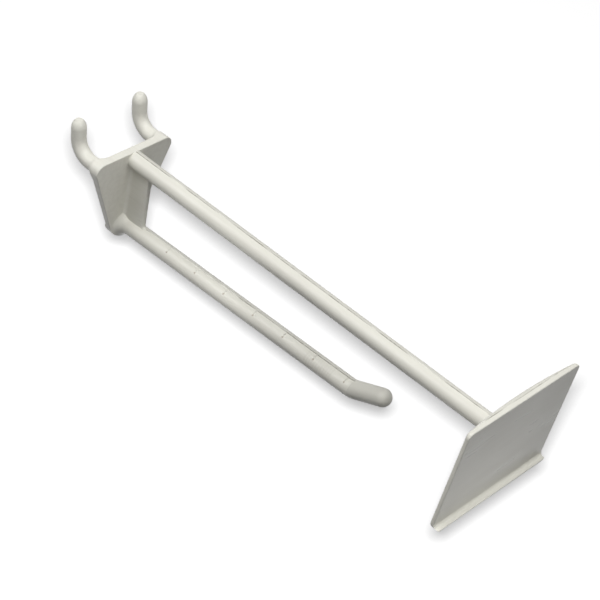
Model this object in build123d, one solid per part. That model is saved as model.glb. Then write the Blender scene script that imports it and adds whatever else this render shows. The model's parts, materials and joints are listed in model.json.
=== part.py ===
"""Scan hook for a pegboard: one piece of moulded plastic.

Two round arms run forward from a tapering back plate. The upper arm is the longer one and carries
the label plate, the lower one carries the goods and ends in a raised tip. A thin web ties the arms
together at their roots. Two bent pegs grow out of the rear of the plate, for the holes of the board.

Frame: X to the right as seen from the front, Y back towards the board, Z up. The origin lies on the
rear face of the back plate, halfway between the two pegs and level with their straight part.
Lengths are in millimetres and angles in degrees.
"""
import os
from math import cos, radians, sin, sqrt, tan

from build123d import *

# Pegs, set for the hole spacing of the board
peg_spacing = 25.4
peg_diameter = 4.97
peg_reach = 9.46
peg_bend_radius = 6.45
peg_lean = 6.4
peg_rise = 11.9
peg_tip_length = 2.85
peg_tip_flat = 2.4
peg_root_flare = 1.6

# Back plate
plate_width = 34.2
plate_height = 33.0
plate_above_pegs = 2.69
plate_thickness = 3.25
plate_draft = 1.42
plate_side_slope = 21.0
plate_corner_radius = 3.0
plate_rear_rounding = 0.9
plate_front_rounding = 0.25

# Upper arm
upper_diameter = 5.87
label_reach = 156.7

# Lower arm
lower_diameter = 5.88
lower_reach = 102.05
lower_drop = 25.42
lower_rise = 1.66
lower_bend_radius = 8.0
lower_root_flare = 3.2
tip_turn = 22.3
tip_length = 14.9

# Web between the arms
web_thickness = 1.8
web_depth = 7.83
web_end_radius = 1.3
web_root_radius = 1.2
web_front_rounding = 0.6

# Label plate
label_width = 48.6
label_height = 38.8
label_above_arm = 16.34
label_lean = 4.91
label_edge_thickness = 1.5
label_crown = 1.4
label_corner_radius = 1.8
label_front_rounding = 0.35
label_rear_rounding = 0.9
lip_depth = 1.85
lip_thickness = 0.9
lip_inner_radius = 1.0
lip_nose_radius = 0.4

# What follows from the driving dimensions
plate_top = plate_above_pegs
plate_bottom = plate_top - plate_height
upper_height = plate_top - upper_diameter / 2
lower_height = upper_height - lower_drop
buried = plate_thickness / 2

# The seam of a flared root is turned to where no other form cuts it
flare_seam = 180

# Places closer together than this count as the same
touching = 0.01


def towards(start, end):
    """A plane at start whose normal points to end."""
    return Plane(origin=start, z_dir=Vector(*end) - Vector(*start))


def round_bar(start, end, diameter):
    """A straight round bar between two points."""
    length = (Vector(*end) - Vector(*start)).length
    return towards(start, end) * extrude(Circle(diameter / 2), length)


def root_flare(start, end, diameter, radius):
    """The concave skirt around the root of a round bar: it starts sunk by its own radius."""
    bar = diameter / 2
    outline = [(0, -radius), (bar + radius, -radius), (bar + radius, 0), (bar, radius), (0, radius)]
    edges = [Line(a, b) for a, b in zip(outline, outline[1:] + outline[:1])]
    edges[2] = TangentArc(outline[3], outline[2], tangent=(0, -1))
    return towards(start, end) * Rot(Z=flare_seam) * revolve(Plane.XZ * make_face(edges), Axis.Z)


def peg_places():
    """The two places of the pegs along X."""
    return (-peg_spacing / 2, peg_spacing / 2)


def plate_outline():
    """Front view of the back plate: a wide top, slanted sides and a full round at the bottom."""
    slope = radians(plate_side_slope)
    half = plate_width / 2
    bottom_radius = (half - plate_height * tan(slope)) / (1 / cos(slope) - tan(slope))
    side_end_x = bottom_radius * cos(slope)
    side_end_z = plate_bottom + bottom_radius * (1 - sin(slope))
    outline = make_face([
        Line((-half, plate_top), (half, plate_top)),
        Line((half, plate_top), (side_end_x, side_end_z)),
        ThreePointArc((side_end_x, side_end_z), (0, plate_bottom), (-side_end_x, side_end_z)),
        Line((-side_end_x, side_end_z), (-half, plate_top)),
    ])
    corners = outline.vertices().group_by(Axis.Y)[-1]
    return fillet(corners, plate_corner_radius)


def on_rear_rim(edge, outline):
    """Whether an edge runs behind the plate along its outline."""
    middle = edge @ 0.5
    on_outline = Vertex(middle.X, middle.Z, 0).distance_to(outline.wire()) < touching
    return on_outline and middle.Y > -touching


def back_plate():
    """The back plate with the flared roots of the pegs: its front is drafted, so it thins downwards."""
    outline = plate_outline()
    plate = extrude(Plane.XZ * outline, plate_thickness)
    behind = extrude(Plane.XZ.offset(buried) * outline, -buried - 2 * peg_root_flare)
    for x in peg_places():
        plate += behind & Pos(X=x) * root_flare((0, 0, 0), (0, 1, 0), peg_diameter, peg_root_flare)
    rim = [edge for edge in plate.edges() if on_rear_rim(edge, outline)]
    plate = fillet(rim, plate_rear_rounding)
    thin = plate_thickness - plate_height * tan(radians(plate_draft))
    side = Polygon(
        (plate_thickness, plate_top), (-plate_thickness, plate_top), (-thin, plate_bottom),
        (plate_thickness, plate_bottom), align=None
    )
    plate &= extrude(Plane.YZ * side, plate_width / 2, both=True)
    front = plate.faces().filter_by(GeomType.PLANE).sort_by(Axis.Y)[0]
    return fillet(front.edges(), plate_front_rounding)


def peg_tip():
    """The end of a peg: it rounds in to a small flat."""
    flat = peg_tip_flat / 2
    side = TangentArc((peg_diameter / 2, 0), (flat, peg_tip_length), tangent=(0, 1))
    half = make_face([
        side,
        Line((flat, peg_tip_length), (0, peg_tip_length)),
        Line((0, peg_tip_length), (0, 0)),
        Line((0, 0), (peg_diameter / 2, 0)),
    ])
    return revolve(Plane.XZ * half, Axis.Z)


def peg():
    """One peg, drawn at X = 0: a bar along its bent middle line, and its tip."""
    lean = radians(peg_lean)
    bend_start = peg_reach - peg_bend_radius * cos(lean)
    bend = JernArc((bend_start, 0), (1, 0), peg_bend_radius, 90 - peg_lean)
    run = (peg_rise - peg_tip_length - (bend @ 1).Y) / cos(lean)
    upright = Line(bend @ 1, bend @ 1 + Vector(sin(lean), cos(lean)) * run)
    path = Plane.YZ * Wire([Line((-buried, 0), (bend_start, 0)), bend, upright])
    bar = sweep(towards(path @ 0, (0, 0, 0)) * Circle(peg_diameter / 2), path)
    tip = Plane(origin=path @ 1, z_dir=path % 1) * peg_tip()
    return bar + tip


def upper_arm():
    """The upper arm, level, from the back plate into the label plate."""
    start = (0, -buried, upper_height)
    end = (0, -label_reach + label_edge_thickness, upper_height)
    return round_bar(start, end, upper_diameter)


def lower_arm():
    """The lower arm: it rises gently, bends up near its end and closes in a round tip."""
    slope = tan(radians(lower_rise))
    root = Vector(0, -buried, lower_height + slope * buried)
    corner = Vector(0, -lower_reach, lower_height + slope * lower_reach)
    along = (corner - root).normalized()
    onward = along.rotate(Axis.X, -tip_turn)
    setback = lower_bend_radius * tan(radians(tip_turn) / 2)
    bend = TangentArc(corner - along * setback, corner + onward * setback, tangent=along)
    tip_centre = corner + onward * (tip_length - lower_diameter / 2)
    path = Wire([Line(root, bend @ 0), bend, Line(bend @ 1, tip_centre)])
    bar = sweep(towards(root, corner) * Circle(lower_diameter / 2), path)
    ball = Pos(tip_centre) * Sphere(lower_diameter / 2)
    return bar + ball


def lower_arm_root():
    """The flared root of the lower arm, which ends at the outline of the back plate."""
    slope = tan(radians(lower_rise))
    plate_here = plate_thickness - (plate_top - lower_height) * tan(radians(plate_draft))
    start = Vector(0, -plate_here, lower_height + slope * plate_here)
    skirt = root_flare(start, start + Vector(0, -1, slope), lower_diameter, lower_root_flare)
    in_front = extrude(Plane.XZ * plate_outline(), plate_thickness + lower_root_flare)
    return skirt & in_front


def on_web_front(edge, front, nose):
    """Whether an edge runs along the front of the web, on its left or right side."""
    on_side = edge.bounding_box().size.X < touching
    return on_side and -nose + touching < (edge @ 0.5).Y < -front + touching


def web():
    """The thin upright web between the arms, rounded out where its front edge meets them."""
    half = web_thickness / 2
    front = plate_thickness + web_depth
    nose = front + web_end_radius
    under = upper_height - sqrt((upper_diameter / 2) ** 2 - half ** 2)
    over = lower_height + sqrt((lower_diameter / 2) ** 2 - half ** 2) + front * tan(radians(lower_rise))
    high = under - web_end_radius
    low = over + web_end_radius
    side = make_face([
        Line((-front, low), (-front, high)),
        TangentArc((-front, high), (-nose, under), tangent=(0, 1)),
        Polyline(
            (-nose, under), (-nose, upper_height), (-buried, upper_height), (-buried, lower_height),
            (-nose, lower_height), (-nose, over)
        ),
        TangentArc((-front, low), (-nose, over), tangent=(0, -1)),
    ])
    slab = extrude(Plane.YZ * side, half, both=True)
    front_edges = [edge for edge in slab.edges() if on_web_front(edge, front, nose)]
    return fillet(front_edges, web_front_rounding)


def in_web_corner(edge):
    """Whether an edge lies in a corner between the web and the front of the back plate."""
    box = edge.bounding_box()
    on_side = box.size.X < touching and abs(abs(box.min.X) - web_thickness / 2) < touching
    return on_side and box.size.Z > web_depth and box.min.Y > -plate_thickness - touching


def plate_and_web():
    """The back plate with the web, joined by rounded inside corners."""
    joined = back_plate() + web()
    corners = [edge for edge in joined.edges() if in_web_corner(edge)]
    return fillet(corners, web_root_radius)


def label_lip(outline):
    """The ledge along the bottom of the label plate, rounded into its front face, drawn upright."""
    foot = -label_height
    inside = (label_edge_thickness - label_rear_rounding + label_front_rounding) / 2
    top = foot + lip_thickness
    section = make_face([
        Line((-lip_depth, foot), (-lip_depth, top)),
        Line((-lip_depth, top), (-lip_inner_radius, top)),
        TangentArc((-lip_inner_radius, top), (0, top + lip_inner_radius), tangent=(1, 0)),
        Polyline(
            (0, top + lip_inner_radius), (inside, top + lip_inner_radius), (inside, foot), (-lip_depth, foot)
        ),
    ])
    lip = extrude(Plane.YZ * section, label_width / 2, both=True)
    lip &= extrude(Plane.XZ.offset(lip_depth) * outline, -2 * lip_depth)
    return fillet(lip.faces().sort_by(Axis.Y)[0].edges(), lip_nose_radius)


def label_plate():
    """The label plate: flat in front, crowned behind, with a small ledge along its bottom edge.

    It is drawn upright, with its front face at y = 0 and its top edge at z = 0, then leaned forward.
    """
    thickness = label_edge_thickness + label_crown
    outline = Pos(0, -label_height / 2) * RectangleRounded(label_width, label_height, label_corner_radius)
    crown_radius = ((label_width / 2) ** 2 + label_crown ** 2) / (2 * label_crown)
    drum = Pos(0, thickness - crown_radius, -label_height / 2) * Cylinder(crown_radius, 2 * label_height)
    plate = extrude(Plane.XZ * outline, -thickness) & drum
    plate = fillet(plate.faces().sort_by(Axis.Y)[-1].edges(), label_rear_rounding)
    plate = fillet(plate.faces().sort_by(Axis.Y)[0].edges(), label_front_rounding)
    plate += label_lip(outline)
    lean = radians(label_lean)
    place = (0, -label_reach - label_above_arm * sin(lean), upper_height + label_above_arm * cos(lean))
    return Pos(place) * Rot(X=label_lean) * plate


def scan_hook():
    """The whole hook, as the one moulded piece that it is."""
    hook = plate_and_web()
    pegs = [Pos(X=x) * peg() for x in peg_places()]
    for piece in [upper_arm(), lower_arm(), lower_arm_root(), label_plate(), *pegs]:
        hook += piece
    return hook


os.makedirs("parts", exist_ok=True)
hook = scan_hook()
hook.label = "scan_hook"
export_step(hook, "parts/scan_hook.step")
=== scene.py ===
"""Dresses the scan hook: off-white moulded plastic, the marks of its mould, a pale stage, the camera.

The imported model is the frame. Its one node keeps its shape and gets its plastic here, and the small
raised marks on the arms are added as pieces of their own.
"""
import json
from math import cos, pi, radians, sin, tan

import bmesh
import bpy
from mathutils import Matrix, Vector

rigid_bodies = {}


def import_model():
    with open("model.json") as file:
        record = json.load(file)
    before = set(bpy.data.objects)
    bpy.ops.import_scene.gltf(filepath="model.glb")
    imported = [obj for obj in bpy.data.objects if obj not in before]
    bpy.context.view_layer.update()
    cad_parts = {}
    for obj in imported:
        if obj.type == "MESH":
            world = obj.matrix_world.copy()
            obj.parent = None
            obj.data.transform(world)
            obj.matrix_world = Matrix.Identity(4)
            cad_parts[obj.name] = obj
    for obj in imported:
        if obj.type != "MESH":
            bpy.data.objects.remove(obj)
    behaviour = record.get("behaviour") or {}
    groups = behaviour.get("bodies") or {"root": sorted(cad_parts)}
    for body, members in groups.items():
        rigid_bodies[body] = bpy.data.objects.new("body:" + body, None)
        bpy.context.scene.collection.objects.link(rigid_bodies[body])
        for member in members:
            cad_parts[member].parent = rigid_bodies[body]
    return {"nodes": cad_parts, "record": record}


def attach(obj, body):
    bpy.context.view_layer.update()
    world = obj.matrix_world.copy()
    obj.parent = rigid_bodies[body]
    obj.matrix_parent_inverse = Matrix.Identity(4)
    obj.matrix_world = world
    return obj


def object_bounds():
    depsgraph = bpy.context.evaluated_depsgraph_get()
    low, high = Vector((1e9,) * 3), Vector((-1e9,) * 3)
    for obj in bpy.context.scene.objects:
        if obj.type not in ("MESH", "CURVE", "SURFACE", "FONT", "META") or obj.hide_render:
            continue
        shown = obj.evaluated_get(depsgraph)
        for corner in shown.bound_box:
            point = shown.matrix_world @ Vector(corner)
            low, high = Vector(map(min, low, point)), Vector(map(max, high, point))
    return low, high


bl_info = {
    "name": "Scan Hook Finish",
    "version": (1, 0, 0),
    "blender": (4, 5, 0),
    "location": "3D View > Sidebar > Scan Hook",
    "description": "Finishes a moulded pegboard hook and sets it on a pale stage",
    "category": "Object",
}

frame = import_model()
CAD_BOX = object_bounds()
HOOK = frame["nodes"]["scan_hook"]
MOUNTS = {mount["name"]: mount for mount in frame["record"]["mounts"]}
LABEL_FACE = MOUNTS["label_face"]["pos_m"]
MM = 0.001
SEAM = 0.0001 * MM
PLASTIC_IOR = 1.49
WHITE = (1.0, 1.0, 1.0, 1.0)
MIDDLE_TONE = 0.5

# How strongly each pattern shades the plastic, roughens it and stands out from it or lies in it.
SHADING = {"arm_streaks": 1.7, "label_streaks": 0.7, "clouds": 1.3, "ripples": 0.8, "stain": 0.8}
ROUGHENING = {"streaks": 0.16, "clouds": 0.1, "dull": 0.06, "stain": 0.1, "dots": 0.15}
RELIEF = {"grain": 0.35, "streaks": 0.4, "ripples": 1.5, "parting_line": -1.5}


class Socket:
    """An output of a shader node that can be used in plain sums."""

    def __init__(self, tree, output):
        self.tree = tree
        self.output = output

    def maths(self, operation, *values):
        settings = {"operation": operation}
        return Nodes(self.tree).add("ShaderNodeMath", settings, dict(enumerate(values)))[0]

    def __add__(self, other):
        return self.maths("ADD", self, other)

    __radd__ = __add__

    def __mul__(self, other):
        return self.maths("MULTIPLY", self, other)

    def __sub__(self, other):
        return self.maths("SUBTRACT", self, other)

    def __rsub__(self, other):
        return self.maths("SUBTRACT", other, self)

    def __truediv__(self, other):
        return self.maths("DIVIDE", self, other)

    def __abs__(self):
        return self.maths("ABSOLUTE", self)

    def below(self, limit):
        return self.maths("LESS_THAN", self, limit)

    def above(self, limit):
        return self.maths("GREATER_THAN", self, limit)


class Nodes:
    """Adds nodes to one tree. A node's settings go in first, then what its sockets hold."""

    def __init__(self, tree):
        self.tree = tree

    def add(self, kind, settings=None, inputs=None):
        """A node's outputs. Its inputs are named, or numbered where two have one name."""
        node = self.tree.nodes.new(kind)
        for name, value in (settings or {}).items():
            setattr(node, name, value)
        for name, value in (inputs or {}).items():
            if isinstance(value, Socket):
                self.tree.links.new(value.output, node.inputs[name])
            else:
                node.inputs[name].default_value = value
        return [Socket(self.tree, output) for output in node.outputs]

    def places(self):
        """Object coordinates: the whole vector, then X, Y and Z."""
        whole = self.add("ShaderNodeTexCoord")[3]
        return [whole, *self.add("ShaderNodeSeparateXYZ", inputs={0: whole})]

    def noise(self, vector, scale, detail=2.0, finer=None):
        """A noise pattern between 0 and 1, finer along each axis by the factor given for it."""
        if finer:
            scaled = {"Vector": vector, "Scale": finer}
            vector = self.add("ShaderNodeMapping", {"vector_type": "POINT"}, scaled)[0]
        inputs = {"Vector": vector, "Scale": scale, "Detail": detail}
        return self.add("ShaderNodeTexNoise", None, inputs)[0]

    def clamped(self, value):
        """The value kept between 0 and 1."""
        return self.add("ShaderNodeClamp", None, {"Value": value})[0]

    def patches(self, pattern, above, contrast):
        """Where a pattern is above a value, with edges as sharp as contrast says."""
        return self.clamped((pattern - above) * contrast)

    def blend(self, factor, first, second):
        """A mix of two colours."""
        return self.add("ShaderNodeMix", {"data_type": "RGBA"}, {0: factor, 6: first, 7: second})[2]


def opaque(colour):
    """A linear colour with full alpha."""
    return (*colour, 1.0)


def swing(pattern):
    """How far a noise pattern is above or below its middle."""
    return pattern - MIDDLE_TONE


def new_material(name):
    """An empty node material, its nodes and its output."""
    material = bpy.data.materials.new(name)
    material.use_nodes = True
    tree = material.node_tree
    tree.nodes.clear()
    output = tree.nodes.new("ShaderNodeOutputMaterial")
    return material, Nodes(tree), output


def plastic_shader(nodes, colours, surface, colour, rough, height, output):
    """The plastic's own gloss, with a bump from height."""
    bump = nodes.add("ShaderNodeBump", None, {
        "Strength": surface.bump_strength,
        "Distance": surface.bump_distance,
        "Height": height,
    })[0]
    shader = nodes.add("ShaderNodeBsdfPrincipled", None, {
        "Base Color": colour,
        "Roughness": rough,
        "Normal": bump,
        "IOR": PLASTIC_IOR,
        "Specular IOR Level": colours.gloss,
    })[0]
    nodes.tree.links.new(shader.output, output.inputs["Surface"])


def flow_marks(nodes, place, on_label, surface):
    """The streaks that the flowing plastic left along the arms, and those across the label."""
    across_arms = (surface.arm_streaks, 1.0, surface.arm_streaks)
    up_label = (1.0, 1.0, surface.label_streaks)
    along_arms = nodes.noise(place, surface.streaks, detail=4.0, finer=across_arms)
    across_label = nodes.noise(place, surface.streaks, finer=up_label)
    return along_arms, along_arms + on_label * (across_label - along_arms)


def ripple_marks(nodes, place, y, z, surface):
    """Fine ripples across the lower arm, in the stretch before its tip."""
    waves = nodes.add("ShaderNodeTexWave", {"bands_direction": "Y"}, {
        "Vector": place,
        "Scale": surface.ripples,
        "Distortion": 3.0,
    })[1]
    stretch = y.below(-surface.ripples_from) * y.above(-surface.ripples_to)
    return waves * (stretch * z.below(surface.ripples_below))


def rim_marks(nodes, place, y, z, label, surface):
    """The parting line along the label's top edge, its stain, and the edge behind it that gets painted
    shade.
    """
    lean = label.lean
    forward = y - label.front_y
    upward = z - label.front_z
    behind = forward * cos(lean) + upward * sin(lean)
    down = forward * sin(lean) - upward * cos(lean)
    on_top = down.below(label.rim_height - label.above_arm)
    on_rim = on_top * y.below(label.front_y + label.rim_depth)
    line = on_rim * abs(behind - label.parting_depth).below(label.parting_width / 2)
    stain = nodes.patches(
        nodes.noise(place, surface.stains, detail=3.0), above=0.38, contrast=4.0)
    return line, stain, on_rim * behind.above(label.parting_depth)


def dull_and_shaded_marks(x, y, z, arms, surface):
    """The right side of both arms and the whole tip of the lower one, where shade is painted and the
    surface is rougher.
    """
    on_arms = y.below(-arms.root) * y.above(-arms.upper_end)
    past_bend = y.below(-arms.reach) * y.above(-arms.reach - 2 * arms.tip)
    on_tip = past_bend * z.below(surface.tip_below)
    return x.above(0.0) * on_arms + x.below(0.0) * on_tip


def moulded_plastic(colours, surface, label, arms):
    """Off-white plastic with flow marks and a fine grain.

    Behind the parting line on the label's rim, to the right of it on the arms and over the whole tip
    of the lower arm, the colour is darkened as painted shade, and the surface is a little rougher.
    """
    material, nodes, output = new_material("moulded_plastic")
    place, x, y, z = nodes.places()
    on_label = y.below(-arms.upper_end)
    on_arms = 1 - on_label
    clouds = nodes.noise(place, surface.clouds, detail=3.0)
    grain = nodes.noise(place, surface.grain, detail=3.0)
    along_arms, flow = flow_marks(nodes, place, on_label, surface)
    ripples = ripple_marks(nodes, place, y, z, surface)
    line, stain, dull_shaded_rim = rim_marks(nodes, place, y, z, label, surface)
    dull = dull_shaded_rim + dull_and_shaded_marks(x, y, z, arms, surface)

    contrast = on_arms * SHADING["arm_streaks"] + on_label * SHADING["label_streaks"]
    shade = MIDDLE_TONE + swing(clouds) * SHADING["clouds"] + swing(flow) * contrast
    shade = nodes.clamped(shade + ripples * SHADING["ripples"])
    colour = nodes.blend(shade, opaque(colours.light), opaque(colours.shaded))
    # Painted shade: the right side of the arms, the rear of the label's rim and the lower arm's tip
    # are darkened towards the shade tone.
    colour = nodes.blend(dull * colours.painted_shade_strength, colour, opaque(colours.dull))
    # The rim's parting line gets a stain here, with no painted shadow.
    colour = nodes.blend(line * stain * SHADING["stain"], colour, opaque(colours.stain))
    rough = colours.roughness + swing(flow) * ROUGHENING["streaks"]
    rough = rough + swing(clouds) * ROUGHENING["clouds"] + dull * ROUGHENING["dull"]
    height = grain * RELIEF["grain"] + along_arms * on_arms * RELIEF["streaks"]
    height = height + ripples * RELIEF["ripples"] + line * RELIEF["parting_line"]
    plastic_shader(nodes, colours, surface, colour, rough, height, output)
    return material


def stained_and_shadowed_plastic(name, colours, surface, least, most):
    """Ridge and rib plastic, darkened from least to most in stretches: stain and painted shadow."""
    material, nodes, output = new_material(name)
    place = nodes.places()[0]
    across = surface.stretch_across
    along = nodes.noise(place, surface.stretches, finer=(across, 1.0, across))
    speck = nodes.noise(place, surface.specks)
    stretch = nodes.patches(along, above=0.42, contrast=9.0)
    specks = nodes.patches(speck, above=0.0, contrast=1.9)
    # Painted shadow: the ridges and ribs are darkened in stretches, as stain and as the shadow each
    # one casts.
    stain = least + stretch * specks * (most - least)
    colour = nodes.blend(stain, opaque(colours.light), opaque(colours.stain))
    rough = colours.roughness + stain * ROUGHENING["stain"]
    plastic_shader(nodes, colours, surface, colour, rough, speck, output)
    return material


def dark_spots(colours, surface):
    """The brown plastic of the dots that the mould's pins leave."""
    material, nodes, output = new_material("pin_mark_plastic")
    shade = nodes.noise(nodes.places()[0], surface.dot_grain)
    shader = nodes.add("ShaderNodeBsdfPrincipled", None, {
        "Base Color": nodes.blend(shade, opaque(colours.dot), opaque(colours.pale_dot)),
        "Roughness": colours.dot_roughness + shade * ROUGHENING["dots"],
        "IOR": PLASTIC_IOR,
    })[0]
    nodes.tree.links.new(shader.output, output.inputs["Surface"])
    return material


def white_seen(nodes):
    """1 for the rays that see the white surroundings: straight, in gloss or through clear parts."""
    rays = nodes.add("ShaderNodeLightPath")
    camera, glossy, transmission = rays[0], rays[3], rays[6]
    settings = {"operation": "ADD", "use_clamp": True}
    return nodes.add("ShaderNodeMath", settings, {0: camera, 1: glossy + transmission})[0]


def stage_white(stage):
    """A floor that is seen as white, with a soft shadow near the hook.

    It lights the hook from below as grey, and further off it is seen as plain white.
    """
    material, nodes, output = new_material("stage_white")
    place = nodes.places()[0]
    tint = opaque(stage.paper_tint)
    clouds = nodes.noise(place, stage.paper_clouds)
    tone = nodes.blend(clouds, opaque(stage.bounce_tint), WHITE)
    bounce = nodes.add("ShaderNodeEmission", None, {"Color": tone, "Strength": stage.bounce})[0]
    glow = nodes.add("ShaderNodeEmission", None, {"Color": tint, "Strength": stage.glow})[0]
    paper = nodes.add("ShaderNodeBsdfDiffuse", None, {"Color": tint})[0]
    lit = nodes.add("ShaderNodeAddShader", None, {0: paper, 1: glow})[0]
    away = nodes.add("ShaderNodeVectorMath", {"operation": "LENGTH"}, {0: place})[1]
    far = nodes.clamped((away - stage.white_from) / (stage.white_to - stage.white_from))
    white = nodes.add("ShaderNodeEmission", None, {"Color": WHITE})[0]
    seen = nodes.add("ShaderNodeMixShader", None, {0: far, 1: lit, 2: white})[0]
    shader = nodes.add("ShaderNodeMixShader", None, {0: white_seen(nodes), 1: bounce, 2: seen})[0]
    nodes.tree.links.new(shader.output, output.inputs["Surface"])
    return material


def new_mesh(name, points, faces, edges=()):
    """A mesh object at the origin, linked to the scene."""
    mesh = bpy.data.meshes.new(name)
    mesh.from_pydata(points, edges, faces)
    made = bpy.data.objects.new(name, mesh)
    bpy.context.scene.collection.objects.link(made)
    return made


def grow(piece, build, sizes, material):
    """Runs the node tree that build draws on the piece's own mesh, and keeps a plain mesh."""
    tree = bpy.data.node_groups.new(piece.name, "GeometryNodeTree")
    sockets = tree.interface
    sockets.new_socket("Mesh", in_out="INPUT", socket_type="NodeSocketGeometry")
    for name, value in sizes.items():
        kind = "NodeSocketInt" if isinstance(value, int) else "NodeSocketFloat"
        sockets.new_socket(name, in_out="INPUT", socket_type=kind)
    sockets.new_socket("Mesh", in_out="OUTPUT", socket_type="NodeSocketGeometry")
    nodes = Nodes(tree)
    given = dict(zip(["Mesh", *sizes], nodes.add("NodeGroupInput")))
    shape = nodes.add("GeometryNodeSetShadeSmooth", None, {0: build(nodes, given)})[0]
    whole = nodes.add("GeometryNodeRealizeInstances", None, {0: shape})[0]
    finished = nodes.add("GeometryNodeSetMaterial", None, {0: whole, "Material": material})[0]
    nodes.add("NodeGroupOutput", None, {0: finished})
    modifier = piece.modifiers.new("grown", "NODES")
    modifier.node_group = tree
    for item in sockets.items_tree:
        if item.in_out == "INPUT" and item.name in sizes:
            modifier[item.identifier] = sizes[item.name]
    ready = piece.evaluated_get(bpy.context.evaluated_depsgraph_get())
    mesh = bpy.data.meshes.new_from_object(ready)
    piece.modifiers.clear()
    piece.data = mesh
    if not mesh.polygons:
        raise RuntimeError(f"{piece.name} came out empty")
    face_outwards(mesh)
    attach(piece, "root")


def face_outwards(mesh):
    """Closes the seams of the mesh and turns each shell the right way out."""
    shell = bmesh.new()
    shell.from_mesh(mesh)
    bmesh.ops.remove_doubles(shell, verts=shell.verts, dist=SEAM)
    bmesh.ops.recalc_face_normals(shell, faces=shell.faces)
    shell.to_mesh(mesh)
    shell.free()


def mark_places(nodes, given):
    """One point on the lower arm's middle line for each mark."""
    slope = nodes.add("ShaderNodeMath", {"operation": "TANGENT"}, {0: given["Rise"]})[0]
    start = nodes.add("ShaderNodeCombineXYZ", None, {
        "Y": given["First"] * -1.0,
        "Z": given["Height"] + slope * given["First"],
    })[0]
    step = nodes.add("ShaderNodeCombineXYZ", None, {
        "Y": given["Pitch"] * -1.0,
        "Z": slope * given["Pitch"],
    })[0]
    return nodes.add("GeometryNodeMeshLine", {"mode": "OFFSET"}, {
        "Count": given["Count"],
        "Start Location": start,
        "Offset": step,
    })[0]


def at_marks(nodes, given, shape):
    """The shape once at each mark."""
    inputs = {"Points": mark_places(nodes, given), "Instance": shape}
    return nodes.add("GeometryNodeInstanceOnPoints", None, inputs)[0]


def round_wire(nodes, path, radius):
    """A closed round wire along a path."""
    ring = nodes.add("GeometryNodeCurvePrimitiveCircle", {"mode": "RADIUS"}, {
        "Resolution": 10,
        "Radius": radius,
    })[0]
    inputs = {"Curve": path, "Profile Curve": ring, "Fill Caps": True}
    return nodes.add("GeometryNodeCurveToMesh", None, inputs)[0]


def cross_ribs(nodes, given):
    """A fine rib from each dot over to the arm's crest."""
    arc = nodes.add("GeometryNodeCurveArc", {"mode": "RADIUS"}, {
        "Resolution": 16,
        "Radius": given["Radius"],
        "Start Angle": given["From"],
        "Sweep Angle": given["To"] - given["From"],
    })[0]
    upright = nodes.add("GeometryNodeTransform", None, {
        "Geometry": arc,
        "Rotation": (pi / 2, 0.0, 0.0),
    })[0]
    return at_marks(nodes, given, round_wire(nodes, upright, given["Thickness"]))


def pin_dots(nodes, given):
    """A small flat dot at the end of each rib."""
    ball = nodes.add("GeometryNodeMeshUVSphere", None, {
        "Segments": 20,
        "Rings": 10,
        "Radius": given["Thickness"],
    })[0]
    turned = nodes.add("ShaderNodeCombineXYZ", None, {"Y": pi / 2 - given["From"]})[0]
    across = nodes.add("ShaderNodeMath", {"operation": "COSINE"}, {0: given["From"]})[0]
    above = nodes.add("ShaderNodeMath", {"operation": "SINE"}, {0: given["From"]})[0]
    place = nodes.add("ShaderNodeCombineXYZ", None, {
        "X": across * given["Radius"],
        "Z": above * given["Radius"],
    })[0]
    flattened = (1.0, 1.0, 0.3)
    dot = nodes.add("GeometryNodeTransform", None, {
        "Geometry": ball,
        "Translation": place,
        "Rotation": turned,
        "Scale": flattened,
    })[0]
    return at_marks(nodes, given, dot)


def ridge(nodes, given):
    """A fine round ridge along the edges of the piece's own mesh."""
    line = nodes.add("GeometryNodeMeshToCurve", None, {"Mesh": given["Mesh"]})[0]
    return round_wire(nodes, line, given["Thickness"])


def new_lamp(name, energy, size, place, target, lights):
    """A round soft lamp at place, turned towards target, that lights one collection alone."""
    lamp = bpy.data.lights.new(name, "AREA")
    lamp.energy = energy
    lamp.shape = "DISK"
    lamp.size = size
    made = bpy.data.objects.new(name, lamp)
    made.location = place
    made.rotation_mode = "QUATERNION"
    made.rotation_quaternion = (Vector(target) - Vector(place)).to_track_quat("-Z", "Y")
    made.light_linking.receiver_collection = lights
    bpy.context.scene.collection.objects.link(made)
    return made


def even_falloff(lamp):
    """Makes a lamp light near and far alike."""
    lamp.use_nodes = True
    tree = lamp.node_tree
    tree.nodes.clear()
    nodes = Nodes(tree)
    constant = nodes.add("ShaderNodeLightFalloff", None, {"Strength": 1.0})[2]
    light = nodes.add("ShaderNodeEmission", None, {"Strength": constant})[0]
    output = tree.nodes.new("ShaderNodeOutputLight")
    tree.links.new(light.output, output.inputs["Surface"])


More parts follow.
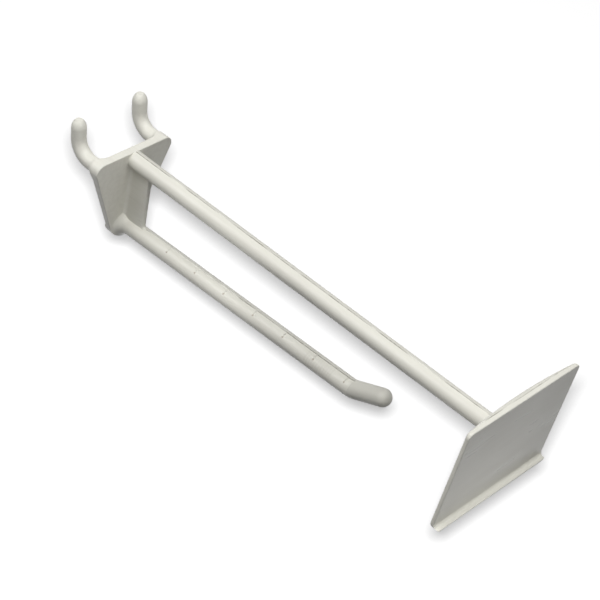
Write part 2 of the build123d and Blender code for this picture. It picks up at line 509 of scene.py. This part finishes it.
class PlasticColours(bpy.types.PropertyGroup):
    """The plastic's colour and gloss."""

    light: bpy.props.FloatVectorProperty(
        name="Light tone", description="Linear colour of most of the plastic",
        subtype="COLOR", size=3, default=(0.81, 0.80, 0.725))
    shaded: bpy.props.FloatVectorProperty(
        name="Shaded tone", description="Linear colour where the plastic flowed less evenly",
        subtype="COLOR", size=3, default=(0.73, 0.715, 0.645))
    # Painted shade: the darker tone put on the right side of the arms, the rear of the label's rim and
    # the lower arm's tip.
    dull: bpy.props.FloatVectorProperty(
        name="Dull tone", description="Linear colour that the duller half of the mould left",
        subtype="COLOR", size=3, default=(0.64, 0.63, 0.57))
    # How far that painted shade goes towards its tone.
    painted_shade_strength: bpy.props.FloatProperty(
        name="Dullness", description="How far the duller half goes towards its tone",
        subtype="FACTOR", default=0.7, min=0.0, max=1.0)
    # Also the darkest tone on the ridges and ribs, where it stands for stain and painted shadow.
    stain: bpy.props.FloatVectorProperty(
        name="Stain", description="Linear colour of the stained parting lines",
        subtype="COLOR", size=3, default=(0.26, 0.245, 0.20))
    roughness: bpy.props.FloatProperty(
        name="Roughness", description="How much the surface scatters a reflection",
        subtype="FACTOR", default=0.3, min=0.0, max=1.0)
    gloss: bpy.props.FloatProperty(
        name="Gloss", description="Strength of the reflection",
        subtype="FACTOR", default=0.3, min=0.0, max=1.0)
    dot: bpy.props.FloatVectorProperty(
        name="Dot tone", description="Linear colour of the pin marks",
        subtype="COLOR", size=3, default=(0.42, 0.37, 0.30))
    pale_dot: bpy.props.FloatVectorProperty(
        name="Paler dot tone", description="Linear colour that the pin marks vary to",
        subtype="COLOR", size=3, default=(0.55, 0.49, 0.41))
    dot_roughness: bpy.props.FloatProperty(
        name="Dot roughness", description="How much the pin marks scatter a reflection",
        subtype="FACTOR", default=0.45, min=0.0, max=1.0)


class SurfaceSizes(bpy.types.PropertyGroup):
    """How fine the plastic's surface marks are and how deep they go."""

    clouds: bpy.props.FloatProperty(
        name="Clouds", description="Soft clouds a metre", default=45.0)
    streaks: bpy.props.FloatProperty(
        name="Streaks", description="Flow streaks a metre, along their run", default=30.0)
    arm_streaks: bpy.props.FloatProperty(
        name="Arm streaks", description="How much finer the streaks are across an arm",
        default=20.0)
    label_streaks: bpy.props.FloatProperty(
        name="Label streaks", description="How much finer the streaks are up the label",
        default=12.0)
    grain: bpy.props.FloatProperty(
        name="Grain", description="Grains a metre", default=1800.0)
    stains: bpy.props.FloatProperty(
        name="Stains", description="Stains a metre along the label's parting line", default=220.0)
    ripples: bpy.props.FloatProperty(
        name="Ripples", description="Scale of the ripples across the lower arm", default=340.0)
    ripples_from: bpy.props.FloatProperty(
        name="Ripples from", description="From the board face to where the ripples start",
        subtype="DISTANCE", unit="LENGTH", default=84.0 * MM)
    ripples_to: bpy.props.FloatProperty(
        name="Ripples to", description="From the board face to where the ripples end",
        subtype="DISTANCE", unit="LENGTH", default=95.0 * MM)
    ripples_below: bpy.props.FloatProperty(
        name="Ripples below", description="The height that the ripples stay below",
        subtype="DISTANCE", unit="LENGTH", default=-20.0 * MM)
    tip_below: bpy.props.FloatProperty(
        name="Tip below", description="A height between the lower arm's tip and the upper arm",
        subtype="DISTANCE", unit="LENGTH", default=-12.0 * MM)
    # The stretches and specks set where the ridges and ribs get their stain and painted shadow.
    stretches: bpy.props.FloatProperty(
        name="Stained stretches", description="Stained stretches a metre along a ridge",
        default=60.0)
    stretch_across: bpy.props.FloatProperty(
        name="Stretches across", description="How much finer the stained stretches are across a ridge",
        default=0.2)
    specks: bpy.props.FloatProperty(
        name="Specks", description="Specks a metre in the stain of ridges and ribs", default=900.0)
    dot_grain: bpy.props.FloatProperty(
        name="Dot grain", description="Grains a metre in the pin marks", default=2500.0)
    bump_strength: bpy.props.FloatProperty(
        name="Bump strength", description="How strongly grain and streaks catch the light",
        subtype="FACTOR", default=0.3, min=0.0, max=1.0)
    bump_distance: bpy.props.FloatProperty(
        name="Bump depth", description="Depth of the grain and the streaks",
        subtype="DISTANCE", unit="LENGTH", default=0.02 * MM)


class LabelSizes(bpy.types.PropertyGroup):
    """Where the label plate is, and the parting line on its rim."""

    front_y: bpy.props.FloatProperty(
        name="Front Y", description="Y of the label's front face level with the upper arm",
        subtype="DISTANCE", unit="LENGTH", default=LABEL_FACE[1])
    front_z: bpy.props.FloatProperty(
        name="Arm Z", description="Height of the upper arm's middle line",
        subtype="DISTANCE", unit="LENGTH", default=LABEL_FACE[2])
    above_arm: bpy.props.FloatProperty(
        name="Above arm", description="From the upper arm's middle line up to the label's top edge",
        subtype="DISTANCE", unit="LENGTH", default=16.34 * MM)
    lean: bpy.props.FloatProperty(
        name="Lean", description="How far the label leans forward",
        subtype="ANGLE", unit="ROTATION", default=radians(4.91))
    rim_height: bpy.props.FloatProperty(
        name="Rim height", description="How far down from its top edge the label's rim goes",
        subtype="DISTANCE", unit="LENGTH", default=0.2 * MM)
    rim_depth: bpy.props.FloatProperty(
        name="Rim depth", description="From the front face to behind the label's rim",
        subtype="DISTANCE", unit="LENGTH", default=6.0 * MM)
    parting_depth: bpy.props.FloatProperty(
        name="Parting depth", description="From the front face back to the parting line",
        subtype="DISTANCE", unit="LENGTH", default=1.5 * MM)
    parting_width: bpy.props.FloatProperty(
        name="Parting width", description="Width of the parting line",
        subtype="DISTANCE", unit="LENGTH", default=0.26 * MM)


class ArmSizes(bpy.types.PropertyGroup):
    """The two arms, as the moulding has them."""

    upper_radius: bpy.props.FloatProperty(
        name="Upper radius", description="Radius of the upper arm",
        subtype="DISTANCE", unit="LENGTH", default=2.935 * MM)
    upper_end: bpy.props.FloatProperty(
        name="Upper end", description="From the board face to where the upper arm meets the label",
        subtype="DISTANCE", unit="LENGTH", default=153.2 * MM)
    root: bpy.props.FloatProperty(
        name="Upper root", description="From the board face to where the upper arm starts",
        subtype="DISTANCE", unit="LENGTH", default=3.4 * MM)
    lower_radius: bpy.props.FloatProperty(
        name="Lower radius", description="Radius of the lower arm",
        subtype="DISTANCE", unit="LENGTH", default=2.94 * MM)
    lower_height: bpy.props.FloatProperty(
        name="Lower height", description="Height of the lower arm's middle line at the board face",
        subtype="DISTANCE", unit="LENGTH", default=-25.665 * MM)
    lower_root: bpy.props.FloatProperty(
        name="Lower root", description="From the board face to where the lower arm leaves the web",
        subtype="DISTANCE", unit="LENGTH", default=12.3 * MM)
    rise: bpy.props.FloatProperty(
        name="Rise", description="How steeply the lower arm rises",
        subtype="ANGLE", unit="ROTATION", default=radians(1.66))
    reach: bpy.props.FloatProperty(
        name="Reach", description="From the board face to the lower arm's corner",
        subtype="DISTANCE", unit="LENGTH", default=102.05 * MM)
    turn: bpy.props.FloatProperty(
        name="Turn", description="How far the tip is turned up",
        subtype="ANGLE", unit="ROTATION", default=radians(22.3))
    bend: bpy.props.FloatProperty(
        name="Bend", description="Radius of the bend's middle line",
        subtype="DISTANCE", unit="LENGTH", default=8.0 * MM)
    tip: bpy.props.FloatProperty(
        name="Tip", description="From the corner to the end of the tip",
        subtype="DISTANCE", unit="LENGTH", default=14.9 * MM)

    def upper_crest(self, height, depth):
        """Points along the top of the upper arm."""
        top = height + self.upper_radius - depth
        return [(0.0, -self.root, top), (0.0, -self.upper_end, top)]

    def lower_crest(self, depth):
        """Points along the top of the lower arm and round its bend, up to where the tip starts."""
        above = self.lower_radius - depth
        rise = self.rise
        corner = Vector((0.0, -self.reach, self.lower_height + tan(rise) * self.reach))
        along = Vector((0.0, -cos(rise), sin(rise)))
        up = Vector((0.0, sin(rise), cos(rise)))
        setback = self.bend * tan(self.turn / 2)
        centre = corner - along * setback + up * self.bend
        root = corner - along * (self.reach - self.lower_root) / cos(rise) + up * above
        points = [root]
        steps = 8
        for step in range(steps + 1):
            angle = rise + self.turn * step / steps
            inward = Vector((0.0, -sin(angle), -cos(angle)))
            points.append(centre + inward * (self.bend - above))
        return points


class MarkSizes(bpy.types.PropertyGroup):
    """The cross marks on the lower arm and the ridges where the mould's halves meet."""

    count: bpy.props.IntProperty(
        name="Marks", description="How many cross marks", default=7, min=1)
    pitch: bpy.props.FloatProperty(
        name="Pitch", description="From one mark to the next",
        subtype="DISTANCE", unit="LENGTH", default=12.7 * MM)
    first: bpy.props.FloatProperty(
        name="First", description="From the board face to the first mark",
        subtype="DISTANCE", unit="LENGTH", default=23.6 * MM)
    dot_angle: bpy.props.FloatProperty(
        name="Dot angle", description="Where the dots sit, from the arm's right side over its top",
        subtype="ANGLE", unit="ROTATION", default=radians(131))
    rib_angle: bpy.props.FloatProperty(
        name="Rib angle", description="Where the ribs end, measured as the dots are",
        subtype="ANGLE", unit="ROTATION", default=radians(84))
    dot_radius: bpy.props.FloatProperty(
        name="Dot radius", description="Radius of a dot",
        subtype="DISTANCE", unit="LENGTH", default=0.32 * MM)
    rib_radius: bpy.props.FloatProperty(
        name="Rib radius", description="Half the thickness of a rib",
        subtype="DISTANCE", unit="LENGTH", default=0.15 * MM)
    # Rib darkening: part stain, part painted shadow.
    rib_stain_and_shadow: bpy.props.FloatVectorProperty(
        name="Rib stain", description="The least and the most stain on a rib",
        size=2, default=(0.1, 0.35))
    ridge_radius: bpy.props.FloatProperty(
        name="Ridge radius", description="Half the thickness of a parting ridge",
        subtype="DISTANCE", unit="LENGTH", default=0.16 * MM)
    ridge_depth: bpy.props.FloatProperty(
        name="Ridge depth", description="How deep a ridge's middle line lies in its arm",
        subtype="DISTANCE", unit="LENGTH", default=0.06 * MM)
    # Ridge darkening: part stain, part painted shadow.
    ridge_stain_and_shadow: bpy.props.FloatVectorProperty(
        name="Ridge stain", description="The least and the most stain on a ridge",
        size=2, default=(0.0, 1.0))


# The middle of the hook, in millimetres.
MIDDLE = (0, -73, -7)

# For each soft lamp: its power in watts, its diameter in metres, its aim in millimetres, its
# distance in metres, and its azimuth and elevation in degrees.
LAMPS = {
    "left_light": (2.45, 0.5, MIDDLE, 0.9, 180, 66),
    "front_left_light": (2.65, 0.5, MIDDLE, 0.9, 240, 66),
    "front_right_light": (2.3, 0.5, MIDDLE, 0.9, 300, 70),
    "back_light": (0.66, 0.3, MIDDLE, 0.5, 135, 42),
    "label_light": (0.0019, 0.04, MIDDLE, 0.108, 264, -10),
    "edge_light": (0.0022, 0.03, (-24, -156, 0), 0.04, 190, 0),
    "plate_light": (0.0031, 0.03, (0, -5, -6), 0.06, 234, -8),
}


class LampSizes(bpy.types.PropertyGroup):
    """One soft round lamp."""

    power: bpy.props.FloatProperty(
        name="Power", description="Power of the lamp",
        subtype="POWER", unit="POWER", default=1.0)
    size: bpy.props.FloatProperty(
        name="Size", description="Diameter of the lamp",
        subtype="DISTANCE", unit="LENGTH", default=0.5)
    aim: bpy.props.FloatVectorProperty(
        name="Aim", description="The place that the lamp points at",
        subtype="TRANSLATION", unit="LENGTH", size=3, default=Vector(MIDDLE) * MM)
    distance: bpy.props.FloatProperty(
        name="Distance", description="From its aim to the lamp",
        subtype="DISTANCE", unit="LENGTH", default=0.9)
    azimuth: bpy.props.FloatProperty(
        name="Azimuth", description="From the hook's right, round by its back",
        subtype="ANGLE", unit="ROTATION", default=radians(180))
    elevation: bpy.props.FloatProperty(
        name="Elevation", description="How high the lamp stands",
        subtype="ANGLE", unit="ROTATION", default=radians(66))

    def place(self):
        """Where the lamp stands."""
        level = cos(self.elevation)
        way = Vector((cos(self.azimuth) * level, sin(self.azimuth) * level, sin(self.elevation)))
        return Vector(self.aim) + way * self.distance


class StageSizes(bpy.types.PropertyGroup):
    """The floor, the surroundings and the floor's own lamp."""

    floor_z: bpy.props.FloatProperty(
        name="Floor", description="Height of the floor",
        subtype="DISTANCE", unit="LENGTH", default=-110 * MM)
    floor_reach: bpy.props.FloatProperty(
        name="Floor reach", description="From the hook to each edge of the floor",
        subtype="DISTANCE", unit="LENGTH", default=4.0)
    paper_tint: bpy.props.FloatVectorProperty(
        name="Paper", description="How much of each colour the floor gives back",
        subtype="COLOR", size=3, default=(0.85, 0.85, 0.85))
    glow: bpy.props.FloatProperty(
        name="Glow", description="How bright the floor stays in the shadow", default=0.54)
    white_from: bpy.props.FloatProperty(
        name="White from", description="How far from the hook the floor starts to turn plain white",
        subtype="DISTANCE", unit="LENGTH", default=0.42)
    white_to: bpy.props.FloatProperty(
        name="White to", description="How far from the hook the floor is plain white",
        subtype="DISTANCE", unit="LENGTH", default=0.8)
    bounce: bpy.props.FloatProperty(
        name="Bounce", description="How brightly the floor lights the hook from below",
        default=0.03)
    bounce_tint: bpy.props.FloatVectorProperty(
        name="Bounce tint", description="Linear colour that the light from the floor varies to",
        subtype="COLOR", size=3, default=(0.995, 0.995, 0.99))
    paper_clouds: bpy.props.FloatProperty(
        name="Paper clouds", description="Clouds a metre in the light from the floor", default=4.0)
    sky: bpy.props.FloatProperty(
        name="Room light", description="How brightly the room lights the hook from all round",
        default=0.06)
    floor_light: bpy.props.FloatProperty(
        name="Floor light", description="Power of the lamp on the floor that draws the shadow",
        subtype="POWER", unit="POWER", default=13.0)
    shadow_size: bpy.props.FloatProperty(
        name="Shadow softness", description="Diameter of the floor's lamp",
        subtype="DISTANCE", unit="LENGTH", default=0.036)
    shadow_lift: bpy.props.FloatProperty(
        name="Shadow lift", description="How far above the camera the floor's lamp is",
        subtype="DISTANCE", unit="LENGTH", default=0.014)
    shadow_tilt: bpy.props.FloatProperty(
        name="Shadow lamp tilt", description="How far up the floor's lamp is turned, for even light",
        subtype="ANGLE", unit="ROTATION", default=radians(38))


class CameraSizes(bpy.types.PropertyGroup):
    """The camera's place, aim and lens."""

    place: bpy.props.FloatVectorProperty(
        name="Place", description="Where the camera stands",
        subtype="TRANSLATION", unit="LENGTH", size=3,
        default=(-379.39 * MM, -354.90 * MM, 379.31 * MM))
    azimuth: bpy.props.FloatProperty(
        name="Azimuth", description="How far round to the left the camera stands",
        subtype="ANGLE", unit="ROTATION", default=radians(53.731))
    elevation: bpy.props.FloatProperty(
        name="Elevation", description="How far up the camera stands",
        subtype="ANGLE", unit="ROTATION", default=radians(39.321))
    roll: bpy.props.FloatProperty(
        name="Roll", description="How far the camera is turned about its own axis",
        subtype="ANGLE", unit="ROTATION", default=radians(12.003))
    sensor: bpy.props.FloatProperty(
        name="Sensor", description="Width of the sensor in millimetres",
        subtype="DISTANCE_CAMERA", unit="CAMERA", default=36.0)
    lens: bpy.props.FloatProperty(
        name="Lens", description="Focal length in millimetres",
        subtype="DISTANCE_CAMERA", unit="CAMERA", default=123.56)

    def axes(self):
        """The camera's right, up and backward directions."""
        back = Vector((
            -sin(self.azimuth) * cos(self.elevation),
            -cos(self.azimuth) * cos(self.elevation),
            sin(self.elevation),
        ))
        level = Vector((0, 0, 1)).cross(back).normalized()
        upright = back.cross(level)
        right = level * cos(self.roll) + upright * sin(self.roll)
        return right, back.cross(right), back


class HOOK_OT_camera(bpy.types.Operator):
    """Adds the camera at the photograph's angle"""

    bl_idname = "hook.camera"
    bl_label = "Camera"

    def execute(self, context):
        sizes = context.scene.hook_camera
        data = bpy.data.cameras.new("camera")
        data.sensor_width = sizes.sensor
        data.lens = sizes.lens
        data.clip_start = 0.01
        camera = bpy.data.objects.new("camera", data)
        turn = Matrix(sizes.axes()).transposed().to_4x4()
        camera.matrix_world = Matrix.Translation(sizes.place) @ turn
        context.scene.collection.objects.link(camera)
        context.scene.camera = camera
        return {"FINISHED"}


class HOOK_OT_plastic(bpy.types.Operator):
    """Gives the moulded hook its plastic"""

    bl_idname = "hook.plastic"
    bl_label = "Plastic"

    def execute(self, context):
        scene = context.scene
        if not HOOK.material_slots:
            raise RuntimeError("the hook has no material slot")
        material = moulded_plastic(
            scene.hook_plastic, scene.hook_surface, scene.hook_label, scene.hook_arms)
        for slot in HOOK.material_slots:
            slot.material = material
        return {"FINISHED"}


class HOOK_OT_marks(bpy.types.Operator):
    """Adds the row of cross marks on the lower arm"""

    bl_idname = "hook.marks"
    bl_label = "Cross marks"

    def execute(self, context):
        scene = context.scene
        marks = scene.hook_marks
        arms = scene.hook_arms
        sizes = {
            "Count": marks.count,
            "Pitch": marks.pitch,
            "First": marks.first,
            "Height": arms.lower_height,
            "Rise": arms.rise,
            "Radius": arms.lower_radius,
            "From": marks.dot_angle,
            "To": marks.rib_angle,
        }
        colours, surface = scene.hook_plastic, scene.hook_surface
        rib_plastic = stained_and_shadowed_plastic("rib_plastic", colours, surface, *marks.rib_stain_and_shadow)
        for name, build, thickness, material in (
            ("cross_ribs", cross_ribs, marks.rib_radius, rib_plastic),
            ("pin_dots", pin_dots, marks.dot_radius, dark_spots(colours, surface)),
        ):
            grow(new_mesh(name, [], []), build, {**sizes, "Thickness": thickness}, material)
        return {"FINISHED"}


class HOOK_OT_ridges(bpy.types.Operator):
    """Adds the fine ridges along both arms where the mould's halves meet"""

    bl_idname = "hook.ridges"
    bl_label = "Parting ridges"

    def execute(self, context):
        scene = context.scene
        marks = scene.hook_marks
        arms = scene.hook_arms
        material = stained_and_shadowed_plastic(
            "ridge_plastic", scene.hook_plastic, scene.hook_surface, *marks.ridge_stain_and_shadow)
        for name, points in (
            ("upper_ridge", arms.upper_crest(scene.hook_label.front_z, marks.ridge_depth)),
            ("lower_ridge", arms.lower_crest(marks.ridge_depth)),
        ):
            edges = [(i, i + 1) for i in range(len(points) - 1)]
            line = new_mesh(name, points, [], edges)
            grow(line, ridge, {"Thickness": marks.ridge_radius}, material)
        return {"FINISHED"}


class HOOK_OT_stage(bpy.types.Operator):
    """Adds the floor, the room light and the lamps"""

    bl_idname = "hook.stage"
    bl_label = "Stage"

    def execute(self, context):
        scene = context.scene
        floor = self.add_floor(scene.hook_stage)
        self.add_lamps(scene, floor)
        self.add_floor_light(scene, floor)
        self.add_room(scene)
        scene.view_settings.view_transform = "Standard"
        return {"FINISHED"}

    def add_floor(self, stage):
        """The floor, a plain square."""
        reach = stage.floor_reach
        corners = [(-reach, -reach), (reach, -reach), (reach, reach), (-reach, reach)]
        floor = new_mesh("floor", [(x, y, stage.floor_z) for x, y in corners], [(0, 1, 2, 3)])
        floor.data.materials.append(stage_white(stage))
        return floor

    def add_lamps(self, scene, floor):
        """The lamps that light the hook alone. The first run fills in their settings."""
        on_hook = bpy.data.collections.new("on_hook")
        for made in scene.objects:
            if made is not floor and made.type == "MESH":
                on_hook.objects.link(made)
        if not scene.hook_lamps:
            for name, (power, size, aim, distance, azimuth, elevation) in LAMPS.items():
                lamp = scene.hook_lamps.add()
                lamp.name = name
                lamp.power = power
                lamp.size = size
                lamp.aim = Vector(aim) * MM
                lamp.distance = distance
                lamp.azimuth = radians(azimuth)
                lamp.elevation = radians(elevation)
        for lamp in scene.hook_lamps:
            soft = new_lamp(lamp.name, lamp.power, lamp.size, lamp.place(), lamp.aim, on_hook)
            soft.visible_camera = False

    def add_floor_light(self, scene, floor):
        """The lamp by the camera that lights the floor alone and draws the hook's shadow on it."""
        stage = scene.hook_stage
        view = scene.hook_camera
        right, up, _ = view.axes()
        place = Vector(view.place) + up * stage.shadow_lift
        middle = (CAD_BOX[0] + CAD_BOX[1]) / 2
        ahead = Matrix.Rotation(stage.shadow_tilt, 3, right) @ (middle - place)
        only_floor = bpy.data.collections.new("floor_only")
        only_floor.objects.link(floor)
        lamp = new_lamp(
            "floor_light", stage.floor_light, stage.shadow_size, place, place + ahead, only_floor)
        even_falloff(lamp.data)

    def add_room(self, scene):
        """White surroundings that light the hook only a little."""
        world = bpy.data.worlds.new("room")
        world.use_nodes = True
        world.node_tree.nodes.clear()
        nodes = Nodes(world.node_tree)
        seen = white_seen(nodes)
        light = nodes.add("ShaderNodeBackground", None, {
            "Color": WHITE,
            "Strength": seen + (1 - seen) * scene.hook_stage.sky,
        })[0]
        output = world.node_tree.nodes.new("ShaderNodeOutputWorld")
        world.node_tree.links.new(light.output, output.inputs["Surface"])
        scene.world = world


class HOOK_PT_panel(bpy.types.Panel):
    """Lists the steps that finish the hook"""

    bl_label = "Scan Hook"
    bl_space_type = "VIEW_3D"
    bl_region_type = "UI"
    bl_category = "Scan Hook"

    def draw(self, context):
        for step in STEPS:
            self.layout.operator(step.bl_idname)


GROUPS = {
    "hook_plastic": (PlasticColours, bpy.props.PointerProperty),
    "hook_surface": (SurfaceSizes, bpy.props.PointerProperty),
    "hook_label": (LabelSizes, bpy.props.PointerProperty),
    "hook_arms": (ArmSizes, bpy.props.PointerProperty),
    "hook_marks": (MarkSizes, bpy.props.PointerProperty),
    "hook_lamps": (LampSizes, bpy.props.CollectionProperty),
    "hook_stage": (StageSizes, bpy.props.PointerProperty),
    "hook_camera": (CameraSizes, bpy.props.PointerProperty),
}
STEPS = (HOOK_OT_camera, HOOK_OT_plastic, HOOK_OT_marks, HOOK_OT_ridges, HOOK_OT_stage)


def register():
    """Adds the settings, the steps and the panel."""
    for name, (group, holder) in GROUPS.items():
        bpy.utils.register_class(group)
        setattr(bpy.types.Scene, name, holder(type=group))
    for made in (*STEPS, HOOK_PT_panel):
        bpy.utils.register_class(made)


def unregister():
    """Takes the panel, the steps and the settings away."""
    for made in (HOOK_PT_panel, *STEPS):
        bpy.utils.unregister_class(made)
    for name, (group, _) in GROUPS.items():
        delattr(bpy.types.Scene, name)
        bpy.utils.unregister_class(group)


def main():
    """Runs the steps in order."""
    register()
    bpy.ops.hook.camera()
    bpy.ops.hook.plastic()
    bpy.ops.hook.marks()
    bpy.ops.hook.ridges()
    bpy.ops.hook.stage()


if __name__ == "__main__":
    main()
